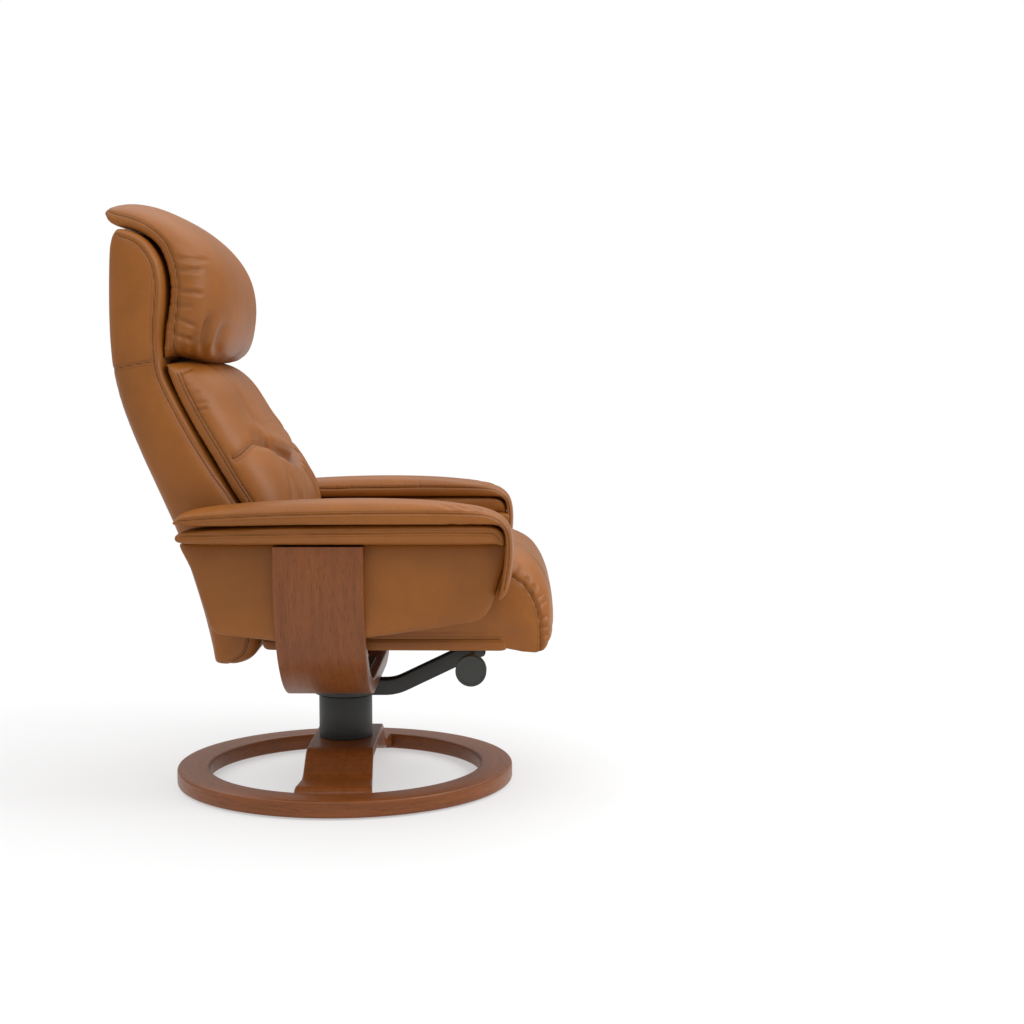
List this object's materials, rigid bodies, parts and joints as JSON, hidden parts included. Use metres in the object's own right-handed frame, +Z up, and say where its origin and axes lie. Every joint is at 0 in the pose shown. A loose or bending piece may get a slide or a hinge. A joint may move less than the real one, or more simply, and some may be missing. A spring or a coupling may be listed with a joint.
{
  "type": "recliner armchair",
  "caption": "Leather recliner armchair with padded arms and a tilting headrest, carried by a bentwood U frame that swivels on a wooden ring base.",
  "frame": {"origin": "on the floor at the middle of the chair's footprint, within a few millimetres of the swivel axis", "axes": "+Z up along the swivel axis, the chair's longest extent; the sitter faces -Y and their right hand is at -X"},
  "size_m": [0.77, 0.7823, 1.0705],
  "materials": {
    "stained_wood": "satin stained bentwood",
    "leather": "semi-matt caramel leather with fine grain",
    "dark_metal": "satin charcoal powder coat",
    "black_knob": "fine textured",
    "bright_steel": "zinc plated",
    "nylon": "smooth",
    "plywood": "raw birch ply",
    "webbing": "woven",
    "felt": "felt"
  },
  "bodies": {
    "base": {"base_ring": "stained_wood", "bridge": "stained_wood", "glide_1": "felt", "glide_2": "felt", "glide_3": "felt", "glide_4": "felt", "glide_5": "felt", "bridge_screw_right_rear": "bright_steel", "bridge_screw_right_front": "bright_steel", "bridge_screw_left_rear": "bright_steel", "bridge_screw_left_front": "bright_steel", "column_cover": "dark_metal", "swivel_bush": "nylon"},
    "carriage": {"swivel_post": "bright_steel", "hub_casting": "dark_metal", "u_frame": "stained_wood", "clamp_plate": "dark_metal", "hub_bolt_1": "bright_steel", "hub_bolt_2": "bright_steel", "hub_bolt_3": "bright_steel", "hub_bolt_4": "bright_steel", "support_arm": "dark_metal", "arm_head": "dark_metal", "slider_block": "nylon", "arm_board_right": "plywood", "arm_side_right": "leather", "arm_lining_right": "leather", "arm_roll_right": "leather", "arm_pad_right": "leather", "arm_board_left": "plywood", "arm_side_left": "leather", "arm_lining_left": "leather", "arm_roll_left": "leather", "arm_pad_left": "leather", "arm_bolt_right_rear": "bright_steel", "arm_bolt_right_front": "bright_steel", "arm_bolt_left_rear": "bright_steel", "arm_bolt_left_front": "bright_steel"},
    "tension": {"tension_rod": "bright_steel", "tension_knob_right": "black_knob", "tension_knob_left": "black_knob"},
    "seat": {"seat_cushion": "leather", "seat_base": "leather", "seat_frame": "plywood", "seat_webbing": "webbing", "seat_rail": "dark_metal"},
    "back": {"back_shell": "leather", "back_cushion": "leather", "back_frame": "dark_metal", "back_pivot_right": "bright_steel", "back_pivot_left": "bright_steel", "head_strap_right": "dark_metal", "head_strap_left": "dark_metal", "head_hinge_bar": "bright_steel"},
    "headrest": {"head_shell": "leather", "head_cushion": "leather", "head_plate": "dark_metal"}
  },
  "joints": [
    {"name": "swivel", "type": "hinge", "parent": "base", "child": "carriage", "pos_m": [0, 0, 0.12], "axis": [0, 0, 1], "continuous": true},
    {"name": "recline", "type": "hinge", "parent": "carriage", "child": "back", "pos_m": [0, 0.15, 0.43], "axis": [-1, 0, 0], "range_deg": [0, 25]},
    {"name": "seat_glide", "type": "slide", "parent": "carriage", "child": "seat", "axis": [0, -0.9945, 0.1045], "range_m": [0, 0.0655]},
    {"name": "headrest_tilt", "type": "hinge", "parent": "back", "child": "headrest", "pos_m": [0, 0.354, 0.778], "axis": [-1, 0, 0], "range_deg": [-5, 15]},
    {"name": "tension_turn", "type": "hinge", "parent": "carriage", "child": "tension", "pos_m": [0, -0.242, 0.241], "axis": [1, 0, 0], "continuous": true}
  ],
  "couplings": [
    {"joint": "seat_glide", "follows": "recline", "m_per_rad": 0.1495}
  ]
}
